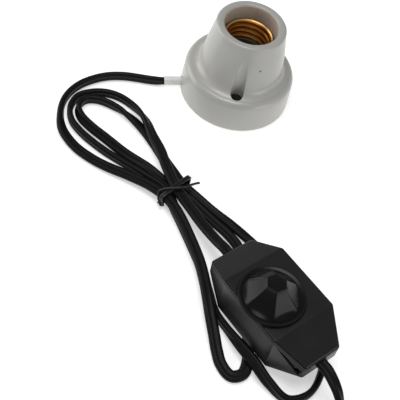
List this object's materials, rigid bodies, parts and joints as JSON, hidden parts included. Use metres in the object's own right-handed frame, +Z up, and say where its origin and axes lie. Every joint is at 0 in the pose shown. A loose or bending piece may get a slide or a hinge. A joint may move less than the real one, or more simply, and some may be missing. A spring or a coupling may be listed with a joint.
{
  "type": "heat lamp holder with dimmer",
  "caption": "Porcelain surface-mount lamp holder with a brass threaded shell, on a tied flat cord with an in-line rotary dimmer and a plug",
  "frame": {"origin": "centre of the lamp holder's round base, on the surface it stands on", "axes": "+Z up out of the socket's mouth along the lamp's axis; -X towards the side where the cord leaves the base; -Y towards the tied cord and the dimmer"},
  "size_m": [0.1967, 0.3174, 0.0537],
  "materials": {
    "glazed_porcelain": "white glaze, gloss",
    "shell_brass": "bright rolled brass",
    "zinc_plated_steel": "zinc plated",
    "silicone_sleeve": "white heat-resistant sleeve",
    "black_cord_sheath": "black flexible sheath, satin",
    "black_casing_plastic": "moulded black, semi-gloss",
    "black_knob_plastic": "moulded black, gloss",
    "potentiometer_grey": "grey, satin",
    "phenolic_board": "resin-bonded board",
    "neutral_core_blue": "core insulation",
    "live_core_brown": "core insulation",
    "triac_epoxy": "moulded epoxy",
    "film_capacitor_yellow": "resin case",
    "timing_capacitor_brown": "dipped resin",
    "choke_ferrite": "sintered",
    "enamelled_copper": "enamelled wire",
    "resistor_tan": "lacquered",
    "fuse_ceramic": "ceramic tube",
    "terminal_green": "moulded"
  },
  "bodies": {
    "holder": {"porcelain_body": "glazed_porcelain", "screw_shell": "shell_brass", "centre_contact": "shell_brass", "contact_rivet": "zinc_plated_steel", "near_shell_screw": "zinc_plated_steel", "far_shell_screw": "zinc_plated_steel", "shell_nut": "zinc_plated_steel", "live_terminal": "shell_brass", "neutral_terminal": "shell_brass", "live_terminal_screw": "zinc_plated_steel", "neutral_terminal_screw": "zinc_plated_steel", "live_core": "live_core_brown", "neutral_core": "neutral_core_blue", "heat_sleeve": "silicone_sleeve", "holder_cord": "black_cord_sheath", "twist_tie": "black_cord_sheath", "dimmer_lid": "black_casing_plastic", "dimmer_tray": "black_casing_plastic", "potentiometer_body": "potentiometer_grey", "circuit_board": "phenolic_board", "triac": "triac_epoxy", "film_capacitor": "film_capacitor_yellow", "timing_capacitor": "timing_capacitor_brown", "choke_core": "choke_ferrite", "choke_winding": "enamelled_copper", "near_resistor": "resistor_tan", "far_resistor": "resistor_tan", "fuse": "fuse_ceramic", "far_terminal_block": "terminal_green", "near_terminal_block": "terminal_green", "far_cord_clamp": "black_casing_plastic", "near_cord_clamp": "black_casing_plastic", "far_left_clamp_screw": "zinc_plated_steel", "far_right_clamp_screw": "zinc_plated_steel", "near_left_clamp_screw": "zinc_plated_steel", "near_right_clamp_screw": "zinc_plated_steel", "far_casing_screw": "zinc_plated_steel", "near_casing_screw": "zinc_plated_steel", "mains_lead": "black_cord_sheath", "mains_coil": "black_cord_sheath", "plug_tail": "black_cord_sheath", "plug_body": "black_casing_plastic", "far_blade": "shell_brass", "near_blade": "shell_brass"},
    "knob": {"dimmer_knob": "black_knob_plastic", "potentiometer_shaft": "potentiometer_grey"}
  },
  "joints": [
    {"name": "knob_turn", "type": "hinge", "parent": "holder", "child": "knob", "pos_m": [0.0428, -0.15334, 0.03144], "axis": [-0.0521, 0.0464, 0.9976], "range_deg": [-135, 135]}
  ]
}
